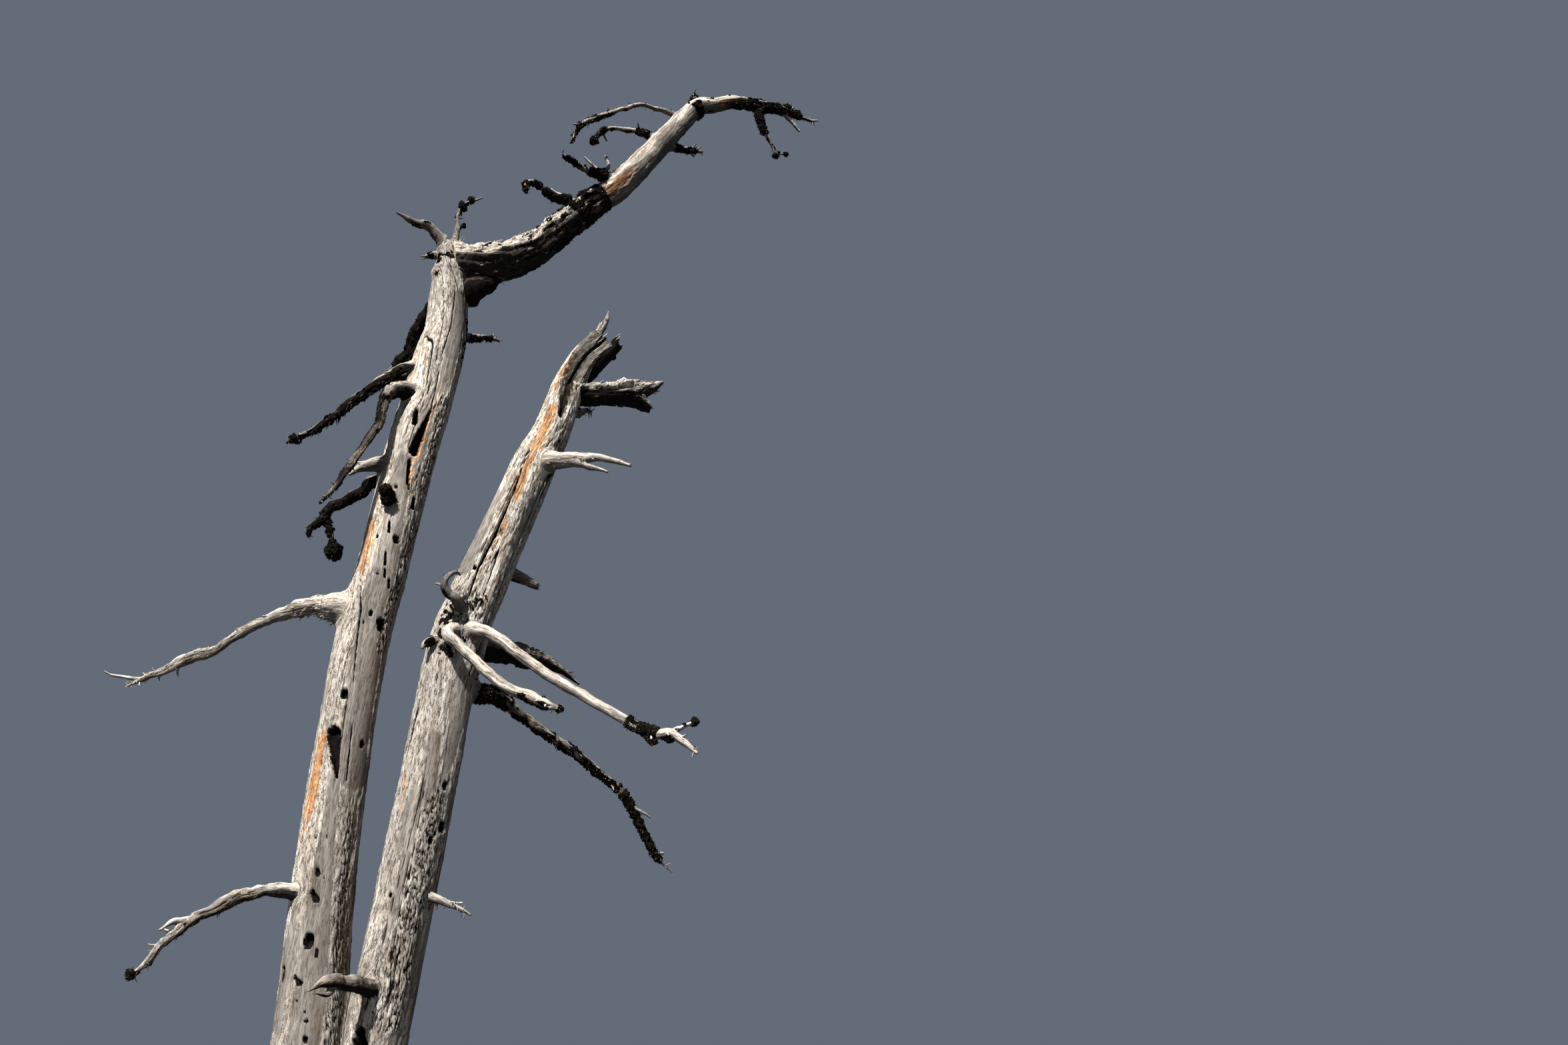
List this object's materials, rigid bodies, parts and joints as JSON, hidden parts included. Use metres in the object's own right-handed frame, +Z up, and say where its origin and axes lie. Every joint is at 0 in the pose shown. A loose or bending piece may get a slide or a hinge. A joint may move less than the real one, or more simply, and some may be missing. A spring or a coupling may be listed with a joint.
{
  "type": "dead tree",
  "caption": "Dead bare mountain pine, silver-grey and weathered: twin stems from one flared foot, a bent-over leader, broken boughs and crooked lichen-hung twigs.",
  "frame": {"origin": "centre of the flat cut under the trunk, at ground level, between the two stems", "axes": "+Z up, +X to the right as the picture shows the tree, +Y away from the viewer"},
  "size_m": [4.5652, 1.6856, 8.8055],
  "materials": {
    "trunk": "barkless weathered silver-grey wood, rough",
    "bough": "bleached dry wood, rough",
    "twigs": "dead twigs with dark curled lichen, matt"
  },
  "bodies": {
    "root": {"trunk_foot": "trunk", "left_stem": "trunk", "right_stem": "trunk", "leader_rise": "trunk", "leader_arch": "trunk", "leader_tip_twigs": "twigs", "leader_hanging_twigs": "twigs", "leader_knot_tuft": "twigs", "leader_long_twigs": "twigs", "leader_inner_twigs": "twigs", "leader_under_twigs": "twigs", "leader_middle_twigs": "twigs", "leader_lower_twigs": "twigs", "top_horn": "bough", "top_sprig": "twigs", "top_side_stub": "bough", "upper_right_twigs": "twigs", "shaded_bough": "bough", "upper_left_bough": "bough", "upper_left_twigs": "twigs", "hanging_bough": "bough", "hanging_twigs": "twigs", "hollow_stub": "bough", "crooked_bough": "bough", "crooked_twigs": "twigs", "long_left_bough": "bough", "long_left_twigs": "twigs", "low_left_bough": "bough", "low_left_twigs": "twigs", "knot_tuft": "twigs", "right_top_splinter": "bough", "broken_right_bough": "bough", "right_dead_twigs": "twigs", "forked_right_bough": "bough", "right_stub": "bough", "curled_twigs": "twigs", "whorl_knob": "bough", "long_right_bough": "bough", "long_right_twigs": "twigs", "short_right_bough": "bough", "short_right_twigs": "twigs", "broad_shaded_bough": "bough", "lichen_bough": "bough", "lichen_twigs": "twigs", "low_right_twigs": "twigs", "front_stub": "bough", "back_low_bough": "bough", "back_middle_stub": "bough", "back_high_bough": "bough", "back_whorl_bough": "bough", "back_low_stub": "bough", "back_upper_stub": "bough"}
  },
  "joints": []
}
